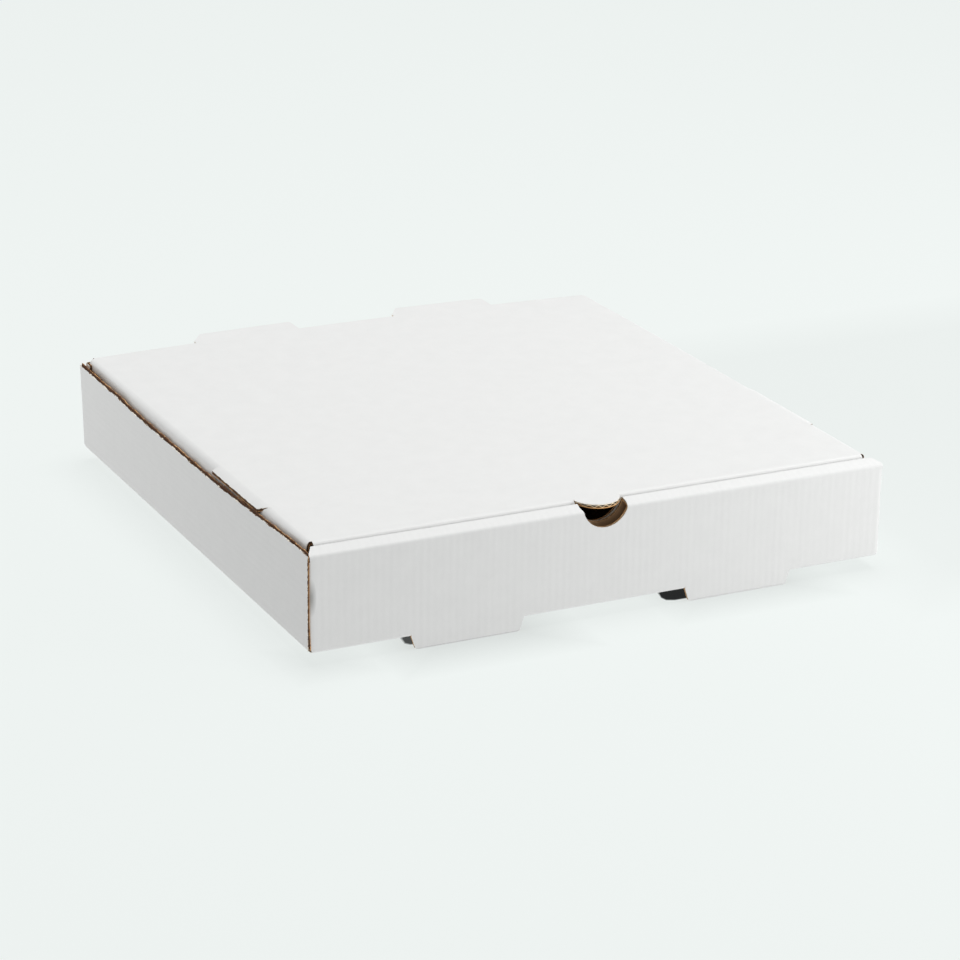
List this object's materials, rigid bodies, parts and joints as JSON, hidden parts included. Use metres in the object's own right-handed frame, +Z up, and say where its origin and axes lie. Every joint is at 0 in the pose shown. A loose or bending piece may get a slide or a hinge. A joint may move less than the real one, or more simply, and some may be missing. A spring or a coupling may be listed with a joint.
{
  "type": "pizza box",
  "caption": "Flat square corrugated takeaway box with a hinged lid, a rolled front edge with a half-moon finger notch, and low cut-out feet.",
  "frame": {"origin": "middle of the whole footprint, the lid's back tabs included, on the table under the feet", "axes": "+X along the front from left to right, +Y from the front to the hinge, +Z up"},
  "size_m": [0.305, 0.3204, 0.0571],
  "materials": {
    "board": "matte"
  },
  "bodies": {
    "tray": {"tray": "board"},
    "lid": {"lid": "board"}
  },
  "joints": [
    {"name": "lid_hinge", "type": "hinge", "parent": "tray", "child": "lid", "pos_m": [0, 0.149, 0.0563], "axis": [-1, 0, 0], "range_deg": [0, 180]}
  ]
}
